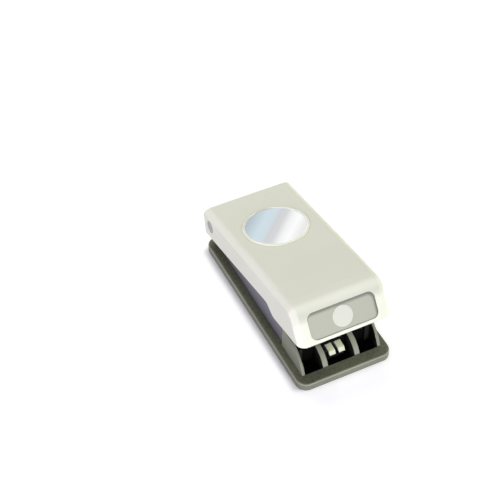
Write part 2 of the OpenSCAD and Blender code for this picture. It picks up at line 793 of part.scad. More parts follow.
module lever_cover() {
    color([0.85, 0.86, 0.80]) at_rest() {
        difference() {
            union() {
                difference() {
                    lever_form();
                    difference() {
                        lever_form(lever_wall);
                        cover_inside();
                    }
                }
                emblem_ring();
            }
            below_skirt();
            translate([0, emblem_y, -mirror_sink]) cylinder(h = 5, r = mirror_r, $fn = 96);
            on_nose() translate([0, 0, -label_deep]) linear_extrude(5)
                polygon(rounded_box(-label_w / 2, label_w / 2, -label_h / 2, label_h / 2, label_r));
            for (x = [-1, 1] * beam_screw_x, y = beam_screw_ys) translate([x, y, -beam_drop - 1])
                cylinder(h = beam_thread + thread_end + 1, r = screw_r + thread_fit);
            translate([0, -lever_tail, -lever_rise]) rotate([0, 90, 0]) {
                cylinder(h = 3 * lever_half, r = pin_d / 2 + run_fit, center = true);
                for (s = [-1, 1]) translate([0, 0, s * (pin_out - pin_head_t - pin_head_gap + boss_r)])
                    cylinder(h = 2 * boss_r, r = pin_head_d / 2 + pin_head_gap, center = true);
            }
        }
        keeper();
    }
}

// Folded steel channel: a web under the cover and two flanges that hang on the hinge pin
module lever_beam() {
    edge = beam_edge - lever_rise;
    ramp = 14;
    color([0.6, 0.61, 0.63]) at_rest() difference() {
        union() {
            plate(-beam_half, beam_half, beam_front, beam_back, -beam_drop - beam_t, -beam_drop, 2);
            both_sides() side(beam_t, beam_half - beam_t / 2) {
                translate([-lever_tail, -lever_rise]) circle(r = beam_ear_r);
                polygon([
                    [-lever_tail, -lever_rise + beam_ear_r], [-lever_tail, -lever_rise - 1],
                    [-lever_tail - beam_ear_r, edge], [beam_front + ramp, edge],
                    [beam_front + 1, -beam_drop - beam_t], [beam_front + 1, -beam_drop],
                    [beam_back, -beam_drop]
                ]);
            }
        }
        translate([0, -lever_tail, -lever_rise]) rotate([0, 90, 0])
            cylinder(h = 4 * beam_half, r = pin_d / 2 + run_fit, center = true);
        translate([0, -lever_tail - punch_arm, bar_z - top_z]) rotate([0, 90, 0])
            cylinder(h = 4 * beam_half, r = bar_r + thread_fit, center = true);
        for (x = [-1, 1] * beam_screw_x, y = beam_screw_ys) translate([x, y, -beam_drop - beam_t - 1])
            cylinder(h = beam_t + 2, r = screw_hole_r);
    }
}

module press_bar() {
    color([0.75, 0.76, 0.78]) at_rest() translate([0, -lever_tail - punch_arm, bar_z - top_z])
        rotate([0, 90, 0]) cylinder(h = 2 * beam_half, r = bar_r, center = true);
}

module beam_screws() {
    color("silver") at_rest() for (x = [-1, 1] * beam_screw_x, y = beam_screw_ys)
        translate([x, y, -beam_drop - beam_t]) {
            translate([0, 0, -screw_head_t]) cylinder(h = screw_head_t, r = sink_r);
            translate([0, 0, -screw_head_t / 2])
                cylinder(h = screw_head_t / 2 + beam_t + beam_thread, r = screw_r);
        }
}

module emblem_mirror() {
    color([0.85, 0.88, 0.9]) at_rest() translate([0, emblem_y, -mirror_sink])
        cylinder(h = mirror_t, r = mirror_r - mirror_fit, $fn = 96);
}

module label_plate() {
    color([0.77, 0.78, 0.73]) at_rest() on_nose() translate([0, 0, -label_deep]) linear_extrude(label_t)
        polygon(rounded_box(-label_w / 2 + label_fit, label_w / 2 - label_fit,
            -label_h / 2 + label_fit, label_h / 2 - label_fit, label_r - label_fit));
}

module label_mark() {
    color([0.9, 0.9, 0.87]) at_rest() on_nose() translate([0, 0, label_t - label_deep])
        cylinder(h = mark_t, r = mark_d / 2);
}

// Lock slide: a flat carriage on the bottom plate, two prongs that pass the tunnel and a thumb pad below
module lock_slide() {
    prong_x = (prong_gap + prong_w) / 2;
    color([0.86, 0.85, 0.75]) {
        translate([-carriage_half, carriage_front, carriage_z])
            cube([2 * carriage_half, carriage_back - carriage_front, carriage_t]);
        both_sides() side(prong_w, prong_x) polygon([
            [tip_y, tip_z - prong_t], [tip_y + prong_lean, tip_z], [block_front, prong_z],
            [carriage_back, prong_z], [carriage_back, carriage_z + carriage_t / 2],
            [block_front + slide_gap, carriage_z + carriage_t / 2],
            [block_front + slide_gap, tip_z - prong_t]
        ]);
        translate([-thumb_half, thumb_y, plate_lift])
            cube([2 * thumb_half, thumb_l, carriage_z - plate_lift + carriage_t / 2]);
    }
}

base_tray();
bottom_plate();
plate_screws();
die_plate();
slot_spacer();
cutting_head();
head_screws();
front_block();
block_screws();
hinge_pin();
pin_cap();
pin_spacer(-1);  // pin_spacer_left
pin_spacer(1);  // pin_spacer_right
return_spring(-1, -1);  // return_spring_front_left
return_spring(1, -1);  // return_spring_front_right
return_spring(-1, 1);  // return_spring_back_left
return_spring(1, 1);  // return_spring_back_right
cutter();
plunger();
cutter_screws();
press_pad();
lever_cover();
lever_beam();
press_bar();
beam_screws();
emblem_mirror();
label_plate();
label_mark();
lock_slide();
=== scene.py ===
import json
import math

import bmesh
import bpy
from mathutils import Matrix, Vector

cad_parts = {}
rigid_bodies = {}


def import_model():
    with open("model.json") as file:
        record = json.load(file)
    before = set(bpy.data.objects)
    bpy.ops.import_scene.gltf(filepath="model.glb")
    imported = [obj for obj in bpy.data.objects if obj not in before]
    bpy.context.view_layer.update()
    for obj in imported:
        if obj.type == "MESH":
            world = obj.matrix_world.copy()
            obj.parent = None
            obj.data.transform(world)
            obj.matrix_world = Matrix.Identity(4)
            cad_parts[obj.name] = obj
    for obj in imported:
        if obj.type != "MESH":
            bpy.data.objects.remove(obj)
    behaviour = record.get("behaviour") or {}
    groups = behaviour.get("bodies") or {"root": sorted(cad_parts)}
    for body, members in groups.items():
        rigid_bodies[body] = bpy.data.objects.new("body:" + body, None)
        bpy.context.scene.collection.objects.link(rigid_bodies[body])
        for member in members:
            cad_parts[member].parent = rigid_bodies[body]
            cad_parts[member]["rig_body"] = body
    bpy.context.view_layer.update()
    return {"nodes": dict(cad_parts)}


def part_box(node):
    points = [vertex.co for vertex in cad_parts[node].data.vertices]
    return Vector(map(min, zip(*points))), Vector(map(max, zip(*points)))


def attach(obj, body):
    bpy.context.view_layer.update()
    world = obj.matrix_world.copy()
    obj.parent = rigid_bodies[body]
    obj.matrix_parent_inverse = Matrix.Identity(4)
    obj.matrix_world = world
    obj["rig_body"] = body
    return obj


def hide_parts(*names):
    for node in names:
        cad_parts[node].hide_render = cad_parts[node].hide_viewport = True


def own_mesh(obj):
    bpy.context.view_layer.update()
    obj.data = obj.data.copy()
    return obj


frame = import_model()
scene = bpy.context.scene
scene.view_settings.view_transform = "Standard"
mm = 0.001


# Camera, at the angle and distance of the photograph
cameraView = {
    "place": (-0.34003, -0.614913, 0.7997),
    "azimuth": -26.19,
    "elevation": 46.76,
    "lens": 100.8,
    "sensor": 36.0,
    "clip": (0.01, 20.0),
}


def wayOut(azimuth, elevation):
    # from the part outwards, by degrees round it from the front and degrees up
    turn = math.radians(azimuth)
    lift = math.radians(elevation)
    return Vector((math.sin(turn) * math.cos(lift), -math.cos(turn) * math.cos(lift), math.sin(lift)))


def addFacing(thing, way):
    # adds a camera or a lamp to the scene, turned to face back along the way out
    thing.rotation_mode = "QUATERNION"
    thing.rotation_quaternion = (-way).to_track_quat("-Z", "Y")
    scene.collection.objects.link(thing)


def makeCamera():
    data = bpy.data.cameras.new("camera")
    data.lens = cameraView["lens"]
    data.sensor_width = cameraView["sensor"]
    data.clip_start, data.clip_end = cameraView["clip"]
    camera = bpy.data.objects.new("camera", data)
    camera.location = cameraView["place"]
    addFacing(camera, wayOut(cameraView["azimuth"], cameraView["elevation"]))
    scene.camera = camera


makeCamera()
print("camera placed")


# Node trees: small helpers that add a node, set its sockets and join it up
def addNode(tree, kind, sockets=None, **settings):
    node = tree.nodes.new(kind)
    for key, value in settings.items():
        setattr(node, key, value)
    for key, value in (sockets or {}).items():
        if isinstance(value, bpy.types.NodeSocket):
            tree.links.new(value, node.inputs[key])
        else:
            node.inputs[key].default_value = value
    return node


def calc(tree, operation, first, second=0.0):
    return addNode(tree, "ShaderNodeMath", {0: first, 1: second}, operation=operation).outputs[0]


def product(tree, first, *others):
    for other in others:
        first = calc(tree, "MULTIPLY", first, other)
    return first


def vector(tree, operation, first, second=(0, 0, 0)):
    node = addNode(tree, "ShaderNodeVectorMath", {0: first, 1: second}, operation=operation)
    return node.outputs["Value" if operation in ("LENGTH", "DOT_PRODUCT") else "Vector"]


def scaled(tree, source, factor):
    return addNode(tree, "ShaderNodeVectorMath", {0: source, "Scale": factor}, operation="SCALE").outputs[0]


def axesOf(tree, source):
    return addNode(tree, "ShaderNodeSeparateXYZ", {0: source}).outputs


def combined(tree, x=0.0, y=0.0, z=0.0):
    return addNode(tree, "ShaderNodeCombineXYZ", {"X": x, "Y": y, "Z": z}).outputs[0]


def coords(tree, kind="Object"):
    return addNode(tree, "ShaderNodeTexCoord").outputs[kind]


def noise(tree, place, scale, detail):
    return addNode(tree, "ShaderNodeTexNoise", {"Vector": place, "Scale": scale, "Detail": detail}).outputs["Fac"]


def mapped(tree, value, low, high, first=0.0, last=1.0, curve="LINEAR"):
    return addNode(tree, "ShaderNodeMapRange", {
        "Value": value, "From Min": low, "From Max": high, "To Min": first, "To Max": last},
        interpolation_type=curve).outputs[0]


def ramp(tree, value, low, high, first=0.0, last=1.0):
    return mapped(tree, value, low, high, first, last, "SMOOTHSTEP")


def fade(tree, value, start, end, first=0.0, last=1.0):
    # a ramp whose start and end are in millimetres
    return ramp(tree, value, start * mm, end * mm, first, last)


def between(tree, value, marks):
    # a mask that rises between the first two marks and falls between the last two
    low, rise, fall, high = marks
    return product(tree, fade(tree, value, low, rise), fade(tree, value, high, fall))


def toned(tree, mask, level):
    # 1 where the mask is 0, and the level where it is 1
    return ramp(tree, mask, 0.0, 1.0, 1.0, level)


def blended(tree, factor, first, second):
    return addNode(tree, "ShaderNodeMix", {"Factor": factor, 6: first, 7: second}, data_type="RGBA").outputs[2]


def newGroup(name, inputs, outputs):
    tree = bpy.data.node_groups.new(name, "ShaderNodeTree")
    for label, kind, value in inputs:
        socket = tree.interface.new_socket(label, in_out="INPUT", socket_type=kind)
        socket.default_value = value
    for label, kind in outputs:
        tree.interface.new_socket(label, in_out="OUTPUT", socket_type=kind)
    return tree, tree.nodes.new("NodeGroupInput").outputs, tree.nodes.new("NodeGroupOutput").inputs


# Moulded plastic: slow drift of the colour, a fine spark-eroded grain, and faint scuffs
moulded = {
    "driftScale": 22.0,
    "grainRoughness": 0.04,
    "scuffTurn": (0.3, 0.2, 0.6),
    "scuffScale": (420, 30, 60),
    "scuffRange": (0.58, 0.75),
}
surfaceOutputs = [("Color", "NodeSocketColor"), ("Roughness", "NodeSocketFloat"), ("Height", "NodeSocketFloat")]


def mouldedGroup():
    tree, given, out = newGroup("mouldedGrain", [
        ("Color", "NodeSocketColor", (0.8, 0.8, 0.8, 1)),
        ("Drift", "NodeSocketFloat", 0.03),
        ("Grain Scale", "NodeSocketFloat", 1800),
        ("Roughness", "NodeSocketFloat", 0.4),
        ("Scuff", "NodeSocketFloat", 0.05),
    ], surfaceOutputs)
    place = coords(tree)
    drift = noise(tree, place, moulded["driftScale"], 3.0)
    grain = noise(tree, place, given["Grain Scale"], 2.0)
    stretched = addNode(tree, "ShaderNodeMapping", {
        "Vector": place, "Rotation": moulded["scuffTurn"], "Scale": moulded["scuffScale"]}).outputs[0]
    scuffs = product(tree, mapped(tree, noise(tree, stretched, 1.0, 4.0), *moulded["scuffRange"]), given["Scuff"])
    swing = product(tree, calc(tree, "SUBTRACT", drift, 0.5), given["Drift"])
    tree.links.new(scaled(tree, given["Color"], calc(tree, "ADD", swing, 1.0)), out["Color"])
    uneven = mapped(tree, grain, 0.0, 1.0, -moulded["grainRoughness"], moulded["grainRoughness"])
    rough = calc(tree, "ADD", calc(tree, "ADD", uneven, given["Roughness"]), scuffs)
    tree.links.new(rough, out["Roughness"])
    tree.links.new(grain, out["Height"])
    return tree


# Worked metal: long fine lines from grinding or drawing, and a cloudy tone under them
def metalGroup():
    tree, given, out = newGroup("workedMetal", [
        ("Color", "NodeSocketColor", (0.6, 0.6, 0.6, 1)),
        ("Lines", "NodeSocketVector", (60, 2500, 2500)),
        ("Contrast", "NodeSocketFloat", 0.2),
        ("Roughness", "NodeSocketFloat", 0.3),
        ("Cloud Scale", "NodeSocketFloat", 60),
    ], surfaceOutputs)
    place = coords(tree)
    lines = noise(tree, vector(tree, "MULTIPLY", place, given["Lines"]), 1.0, 3.0)
    cloud = noise(tree, place, given["Cloud Scale"], 4.0)
    centred = calc(tree, "SUBTRACT", calc(tree, "ADD", lines, cloud), 1.0)
    swing = product(tree, centred, given["Contrast"])
    tree.links.new(scaled(tree, given["Color"], calc(tree, "ADD", swing, 1.0)), out["Color"])
    tree.links.new(calc(tree, "ADD", swing, given["Roughness"]), out["Roughness"])
    tree.links.new(lines, out["Height"])
    return tree


plastics = {
    # finish: colour, drift of the colour, roughness, gloss, strength and depth of the grain
    "leverPlastic": ((0.82, 0.84, 0.715), 0.05, 0.42, 0.22, (0.06, 0.0001)),
    "basePlastic": ((0.237, 0.248, 0.186), 0.3, 0.5, 0.25, (0.25, 0.0002)),
    # near zero, far darker than real black plastic: painted shade, so that the front block and the plunger render as
    # black as deep shade in the bays
    "blackPlastic": ((0.0022, 0.0022, 0.0022), 0.3, 0.6, 0.05, (0.1, 0.0001)),
    "lockPlastic": ((0.845, 0.893, 0.60), 0.1, 0.4, 0.5, (0.06, 0.0001)),
    "padPlastic": ((0.7, 0.7, 0.62), 0.1, 0.45, 0.5, (0.06, 0.0001)),
    "labelFilm": ((0.396, 0.406, 0.322), 0.06, 0.45, 0.5, (0.04, 0.0001)),
    "markPrint": ((0.622, 0.63, 0.548), 0.04, 0.4, 0.5, (0.04, 0.0001)),
}
metals = {
    # finish: colour, scale of the lines, contrast, roughness, metallic, gloss, strength and depth of the lines
    "headMetal": ((0.15, 0.143, 0.185), (400, 400, 90), 0.2, 0.42, 0.6, 0.5, (0.1, 0.0001)),
    "toolSteel": ((0.55, 0.56, 0.58), (60, 900, 900), 0.2, 0.34, 1.0, 0.5, (0.03, 0.0001)),
    "pinSteel": ((0.275, 0.27, 0.265), (900, 900, 900), 0.2, 0.35, 0.8, 0.5, (0.05, 0.0001)),
    "springWire": ((0.55, 0.56, 0.57), (900, 900, 300), 0.2, 0.28, 1.0, 0.5, (0.05, 0.0001)),
    # near zero, far darker than real blackened steel: painted shade, so that the bottom plate seen through the bays
    # renders as black as deep shade
    "blackSteel": ((0.0025, 0.0025, 0.0025), (60, 900, 900), 0.2, 0.6, 0.0, 0.05, (0.05, 0.0001)),
    "mirrorGlass": ((0.96, 0.965, 0.97), (30, 30, 30), 0.01, 0.03, 1.0, 0.5, (0.0, 0.0001)),
}
materials = {}


def newMaterial(name, group, inputs, relief, gloss, metallic=0.0):
    material = bpy.data.materials.new(name)
    material.use_nodes = True
    tree = material.node_tree
    shader = tree.nodes["Principled BSDF"].inputs
    effect = addNode(tree, "ShaderNodeGroup", inputs, node_tree=group)
    strength, distance = relief
    bump = addNode(tree, "ShaderNodeBump", {
        "Height": effect.outputs["Height"], "Strength": strength, "Distance": distance})
    tree.links.new(effect.outputs["Color"], shader["Base Color"])
    tree.links.new(effect.outputs["Roughness"], shader["Roughness"])
    tree.links.new(bump.outputs["Normal"], shader["Normal"])
    shader["Metallic"].default_value = metallic
    shader["Specular IOR Level"].default_value = gloss
    materials[name] = material


def makeFinishes():
    grain = mouldedGroup()
    for name, (color, drift, roughness, gloss, relief) in plastics.items():
        inputs = {"Color": (*color, 1), "Drift": drift, "Roughness": roughness}
        newMaterial(name, grain, inputs, relief, gloss)
    worked = metalGroup()
    for name, (color, lines, contrast, roughness, metallic, gloss, relief) in metals.items():
        inputs = {"Color": (*color, 1), "Lines": lines, "Contrast": contrast, "Roughness": roughness}
        newMaterial(name, worked, inputs, relief, gloss, metallic)


makeFinishes()


def dress(finish, group):
    # changes the finish's colour by the group's tint or tone, and takes the group's normal under the grain
    tree = materials[finish].node_tree
    color = tree.nodes["Principled BSDF"].inputs["Base Color"]
    effect = addNode(tree, "ShaderNodeGroup", node_tree=group)
    source = color.links[0].from_socket
    if "Tint" in effect.outputs:
        changed = vector(tree, "MULTIPLY", source, effect.outputs["Tint"])
    else:
        changed = scaled(tree, source, effect.outputs["Tone"])
    tree.links.new(changed, color)
    if "Normal" in effect.outputs:
        relief = next(node for node in tree.nodes if node.type == "BUMP")
        tree.links.new(effect.outputs["Normal"], relief.inputs["Normal"])


# Distance from the outline of a flat box with round corners, below zero inside
def boxGroup():
    tree, given, out = newGroup("roundedBox", [
        ("Position", "NodeSocketVector", (0, 0, 0)),
        ("Half", "NodeSocketVector", (0.01, 0.01, 0)),
        ("Corner", "NodeSocketFloat", 0.001),
    ], [("Distance", "NodeSocketFloat")])
    size = vector(tree, "ABSOLUTE", vector(tree, "MULTIPLY", given["Position"], (1, 1, 0)))
    past = vector(tree, "ADD", vector(tree, "SUBTRACT", size, given["Half"]), given["Corner"])
    axes = axesOf(tree, past)
    beyond = combined(tree, calc(tree, "MAXIMUM", axes["X"]), calc(tree, "MAXIMUM", axes["Y"]))
    outside = vector(tree, "LENGTH", beyond)
    inside = calc(tree, "MINIMUM", calc(tree, "MAXIMUM", axes["X"], axes["Y"]))
    whole = calc(tree, "ADD", outside, inside)
    tree.links.new(calc(tree, "SUBTRACT", whole, given["Corner"]), out["Distance"])
    return tree


roundedBox = boxGroup()


def boxDistance(tree, position, box):
    return addNode(tree, "ShaderNodeGroup", {
        "Position": position, "Half": Vector(box["half"]) * mm, "Corner": box["corner"] * mm},
        node_tree=roundedBox).outputs[0]


def local(tree, place):
    # object coordinates measured from a place on a piece, with the X axis kept
    return addNode(tree, "ShaderNodeMapping", {
        "Vector": coords(tree), "Location": Vector(place["origin"]) * mm,
        "Rotation": (math.radians(place["turn"]), 0, 0)}, vector_type="TEXTURE").outputs[0]


# Lever: a flat band along each long edge with a painted highlight, a broad shoulder over the nose, the rim round the
# mirror with a painted highlight to the front, painted shade behind and a painted shadow along its foot, and painted
# shade on the walls of the label's recess. Places are in millimetres, and angles in degrees.
leverPlace = {
    "origin": (0, 83.93, 38.44),  # back edge of the top
    "turn": -11.4,
    "bandSteps": ((6, 24), (66, 84)),
    "bandAngle": 45,
    # painted highlight: how much paler the band is than the top and the side
    "bandHighlight": 1.15,
    "shoulder": (0, -0.8334, -0.5527),  # direction from the origin, across the fillet
    "shoulderAt": 124.42,
    "shoulderReach": 10.4,
    "shoulderBend": 23.0,
    "bendLimit": 0.3,
    "rimMiddle": -52.5,
    "rimRadius": 25.4,
    "rimHeight": (0.05, 0.3),
    "rimTones": (1.18, 0.92),  # painted highlight at the front and painted shade at the back
    # painted shadow: a darker line along the rim's foot, this far out and this wide
    "footOut": 0.5,
    "footWidth": (0.8, 0.2),
    "footShadowTone": 0.9,
}
labelPlace = {
    "origin": (0, -71.27, 54.13),  # middle of the label, on the nose's face
    "turn": 53.8,
    "half": (26.8, 10.2, 0),
    "corner": 5.0,
    "wall": (0.5, 0.2),  # from the outline outwards
    "depths": (-1.6, -1.2, -0.25, -0.1),  # the recess's walls, without the floor and the face
    # painted shade: how much darker the recess's walls are
    "wallShadeTone": 0.35,
    "shadeShift": (0.9, 1.6, 0),
    "shade": (-1.9, 0.8),
    "shadeDepth": 0.66,
}


def bandAngles(tree, across):
    # the normal's angle to the side, held at the band's angle over most of a rounded edge, and the band's painted
    # highlight
    angle = calc(tree, "ARCSINE", calc(tree, "ABSOLUTE", across))
    step = math.radians(leverPlace["bandAngle"])
    steps = [ramp(tree, angle, math.radians(low), math.radians(high), 0.0, step)
             for low, high in leverPlace["bandSteps"]]
    tone = ramp(tree, calc(tree, "SUBTRACT", *steps), 0.0, step, 1.0, leverPlace["bandHighlight"])
    return calc(tree, "ADD", *steps), tone


def shoulderBend(tree, spot, bend):
    # how far the normal turns over, so that the top's fillet to the nose looks broader
    along = vector(tree, "DOT_PRODUCT", spot, leverPlace["shoulder"])
    start = (leverPlace["shoulderAt"] - leverPlace["shoulderReach"]) * mm
    end = (leverPlace["shoulderAt"] + leverPlace["shoulderReach"]) * mm
    wave = calc(tree, "SINE", mapped(tree, along, start, end, math.pi, -math.pi))
    return product(tree, calc(tree, "MINIMUM", wave, leverPlace["bendLimit"]), bend)


def rimLightAndShade(tree, spot):
    # painted highlight on the raised rim's front and painted shade on its back, and a painted shadow line along its
    # foot
    axes = axesOf(tree, spot)
    middle, radius = leverPlace["rimMiddle"] * mm, leverPlace["rimRadius"] * mm
    crest = ramp(tree, axes["Y"], middle - radius, middle + radius, *leverPlace["rimTones"])
    raised = addNode(tree, "ShaderNodeMix", {
        "Factor": fade(tree, axes["Z"], *leverPlace["rimHeight"]), 2: 1.0, 3: crest}, data_type="FLOAT").outputs[0]
    reach = vector(tree, "LENGTH", combined(tree, axes["X"], calc(tree, "SUBTRACT", axes["Y"], middle)))
    offFoot = calc(tree, "ABSOLUTE", calc(tree, "SUBTRACT", reach, radius + leverPlace["footOut"] * mm))
    foot = fade(tree, offFoot, *leverPlace["footWidth"], 1.0, leverPlace["footShadowTone"])
    return product(tree, raised, foot)


def recessWallShade(tree):
    # painted shade on the walls of the label's recess
    face = local(tree, labelPlace)
    inside = fade(tree, boxDistance(tree, face, labelPlace), *labelPlace["wall"])
    sunk = between(tree, axesOf(tree, face)["Z"], labelPlace["depths"])
    return toned(tree, product(tree, inside, sunk), labelPlace["wallShadeTone"])


def leverFormGroup():
    tree, given, out = newGroup("leverForm", [
        ("Bend", "NodeSocketFloat", math.radians(leverPlace["shoulderBend"])),
    ], [("Normal", "NodeSocketVector"), ("Tone", "NodeSocketFloat")])
    normal = coords(tree, "Normal")
    across = axesOf(tree, normal)["X"]
    angle, band = bandAngles(tree, across)
    spot = local(tree, leverPlace)
    upright = vector(tree, "NORMALIZE", vector(tree, "MULTIPLY", normal, (0, 1, 1)))
    bent = addNode(tree, "ShaderNodeVectorRotate", {
        "Vector": upright, "Angle": shoulderBend(tree, spot, given["Bend"])}, rotation_type="X_AXIS").outputs[0]
    aside = combined(tree, product(tree, calc(tree, "SIGN", across), calc(tree, "SINE", angle)))
    shaped = vector(tree, "ADD", scaled(tree, bent, calc(tree, "COSINE", angle)), aside)
    turned = addNode(tree, "ShaderNodeVectorTransform", {
        0: shaped}, vector_type="NORMAL", convert_from="OBJECT", convert_to="WORLD").outputs[0]
    tree.links.new(turned, out["Normal"])
    tree.links.new(product(tree, rimLightAndShade(tree, spot), recessWallShade(tree), band), out["Tone"])
    return tree


# Label: shade that the recess's upper and right edges throw on it
def labelShadeGroup():
    tree, given, out = newGroup("labelShade", [
        ("Depth", "NodeSocketFloat", labelPlace["shadeDepth"]),
    ], [("Tone", "NodeSocketFloat")])
    moved = vector(tree, "ADD", local(tree, labelPlace), Vector(labelPlace["shadeShift"]) * mm)
    shade = fade(tree, boxDistance(tree, moved, labelPlace), *labelPlace["shade"])
    tree.links.new(calc(tree, "SUBTRACT", 1.0, product(tree, shade, given["Depth"])), out["Tone"])
    return tree


# Base: the slab's top has a coarser, mottled grain and is darkened as painted shade; painted highlights make its
# edge and the ribs paler, and painted shade darkens the base below the slab's edge, the gussets and the bays' side
# faces. Places are in millimetres.
basePlace = {
    "slabTop": (6.5, 6.8, 7.1, 7.3),
    # the slab top's colour: a mottled grain, darkened as painted shade
    "topMottleAndShade": (0.5, 0.51, 0.43, 1),
    "mottleScale": 420.0,
    "mottleRange": (0.3, 0.7),
    "mottleTones": (0.8, 1.2),
    "slabEdge": (5.3, 5.7, 6.2, 6.6),
    # painted highlight along the slab's rounded edge
    "edgeHighlight": 1.3,
    # painted shade on the base below the slab's edge
    "sideShade": 0.8,
    "gussetX": (23.5, 24.5, 30.0, 30.2),
    "gussetY": (-70.0, -68.0, -56.0, -54.0),
    # painted shade on the gussets in the bays
    "gussetShade": 0.05,
    "bayX": (30.3, 30.1),
    "bayY": (-42.0, -44.0),
    "bayLean": (0.55, 0.85),  # only faces that look to the side
    # painted shade on the bays' side faces
    "bayShade": 0.06,
    "ribX": (15.5, 15.3),
    "ribZ": (7.3, 7.6),
    # painted highlight: the ribs and the base between them, above the slab, are paler
    "ribHighlight": 1.2,
}


def baseToneGroup():
    tree, given, out = newGroup("baseTone", [
        ("Top", "NodeSocketColor", basePlace["topMottleAndShade"]),
    ], [("Tint", "NodeSocketColor")])
    place = coords(tree)
    axes = axesOf(tree, place)
    wide = calc(tree, "ABSOLUTE", axes["X"])
    speckle = noise(tree, place, basePlace["mottleScale"], 3.0)
    mottle = mapped(tree, speckle, *basePlace["mottleRange"], *basePlace["mottleTones"])
    top = between(tree, axes["Z"], basePlace["slabTop"])
    flat = blended(tree, top, (1, 1, 1, 1), scaled(tree, given["Top"], mottle))
    edge = between(tree, axes["Z"], basePlace["slabEdge"])
    gusset = product(tree, between(tree, wide, basePlace["gussetX"]), between(tree, axes["Y"], basePlace["gussetY"]))
    aside = calc(tree, "ABSOLUTE", axesOf(tree, coords(tree, "Normal"))["X"])
    bay = product(tree, ramp(tree, aside, *basePlace["bayLean"]), fade(tree, wide, *basePlace["bayX"]),
                  fade(tree, axes["Y"], *basePlace["bayY"]))
    rib = product(tree, fade(tree, wide, *basePlace["ribX"]), fade(tree, axes["Z"], *basePlace["ribZ"]))
    side = fade(tree, axes["Z"], *basePlace["slabEdge"][:2], basePlace["sideShade"], 1.0)
    level = product(
        tree, toned(tree, gusset, basePlace["gussetShade"]), toned(tree, edge, basePlace["edgeHighlight"]),
        toned(tree, bay, basePlace["bayShade"]), side, toned(tree, rib, basePlace["ribHighlight"]))
    tree.links.new(scaled(tree, flat, level), out["Tint"])
    return tree


# Lock slide: painted shade, nearly black, below its prongs, and painted shade on its upright faces, which are darker
# and bluer
lockPlace = {
    # painted shade: below these heights the colour falls to the share below, nearly black
    "dark": (8.0, 8.3),
    "below": 0.02,
    # painted shade: upright faces take this darker, bluer tint
    "upright": (0.44, 0.425, 0.66, 1),
    "flatFrom": 0.95,
    "lean": (0, -0.12, 0),
}


def lockToneGroup():
    tree, given, out = newGroup("lockTone", [
        ("Shade Below", "NodeSocketFloat", lockPlace["below"]),
        ("Upright Shade", "NodeSocketColor", lockPlace["upright"]),
    ], [("Tint", "NodeSocketColor"), ("Normal", "NodeSocketVector")])
    low, high = lockPlace["dark"]
    level = mapped(tree, axesOf(tree, coords(tree))["Z"], low * mm, high * mm, given["Shade Below"])
    normal = coords(tree, "Normal")
    upward = axesOf(tree, normal)["Z"]
    faces = blended(tree, ramp(tree, upward, 0.0, lockPlace["flatFrom"]), given["Upright Shade"], (1, 1, 1, 1))
    tree.links.new(scaled(tree, faces, level), out["Tint"])
    leant = vector(tree, "ADD", normal, scaled(tree, lockPlace["lean"], upward))
    tree.links.new(vector(tree, "NORMALIZE", leant), out["Normal"])
    return tree


dress("leverPlastic", leverFormGroup())
dress("labelFilm", labelShadeGroup())
dress("basePlastic", baseToneGroup())
dress("lockPlastic", lockToneGroup())
print("materials:", len(materials))


# Rigid pieces: the solid's own shape, with its corners eased and its curves shaded smooth
rigidPieces = {
    # node: (piece, material, slot, eased edge in mm)
    "lever_cover": ("leverShell", "leverPlastic", "lever_plastic", 0.12),
    "base_tray": ("baseTray", "basePlastic", "base_plastic", 0.25),
    "cutting_head": ("cuttingHead", "headMetal", "head_metal", 0.3),
    "front_block": ("frontBlock", "blackPlastic", "black_plastic", 0.2),
    "bottom_plate": ("bottomPlate", "blackSteel", "black_steel", 0.1),
    "die_plate": ("diePlate", "toolSteel", "tool_steel", 0.1),
    "slot_spacer": ("slotSpacer", "toolSteel", "tool_steel", 0.1),
    "hinge_pin": ("hingePin", "pinSteel", "pin_steel", 0.2),
    "pin_cap": ("pinCap", "pinSteel", "pin_steel", 0.1),
    "pin_spacer_left": ("pinSpacerLeft", "padPlastic", "pad_plastic", 0.2),
    "pin_spacer_right": ("pinSpacerRight", "padPlastic", "pad_plastic", 0.2),
    "cutter": ("cutterDisc", "toolSteel", "tool_steel", 0),
    "plunger": ("plungerBody", "blackPlastic", "black_plastic", 0),
    "press_pad": ("pressPad", "padPlastic", "pad_plastic", 0.25),
    "lever_beam": ("leverBeam", "toolSteel", "tool_steel", 0.15),
    "press_bar": ("pressBar", "pinSteel", "pin_steel", 0.3),
    "emblem_mirror": ("emblemMirror", "mirrorGlass", "mirror", 0.15),
    "label_plate": ("labelPlate", "labelFilm", "label", 0.1),
    "label_mark": ("labelMark", "markPrint", "label_mark", 0.08),
    "lock_slide": ("lockSlide", "lockPlastic", "lock_plastic", 0.35),
}
clampedNodes = ("cutting_head",)  # short edges here would cross if the easing weren't held back
easing = {
    "segments": 2,
    "fromAngle": 40,  # degrees between the faces at an eased edge
    "sharpFrom": 32,  # the same at a sharp edge, on pieces that aren't eased
    "merge": 2e-6,
    "flatWithin": 0.5,
    "evenWeight": 80,
}


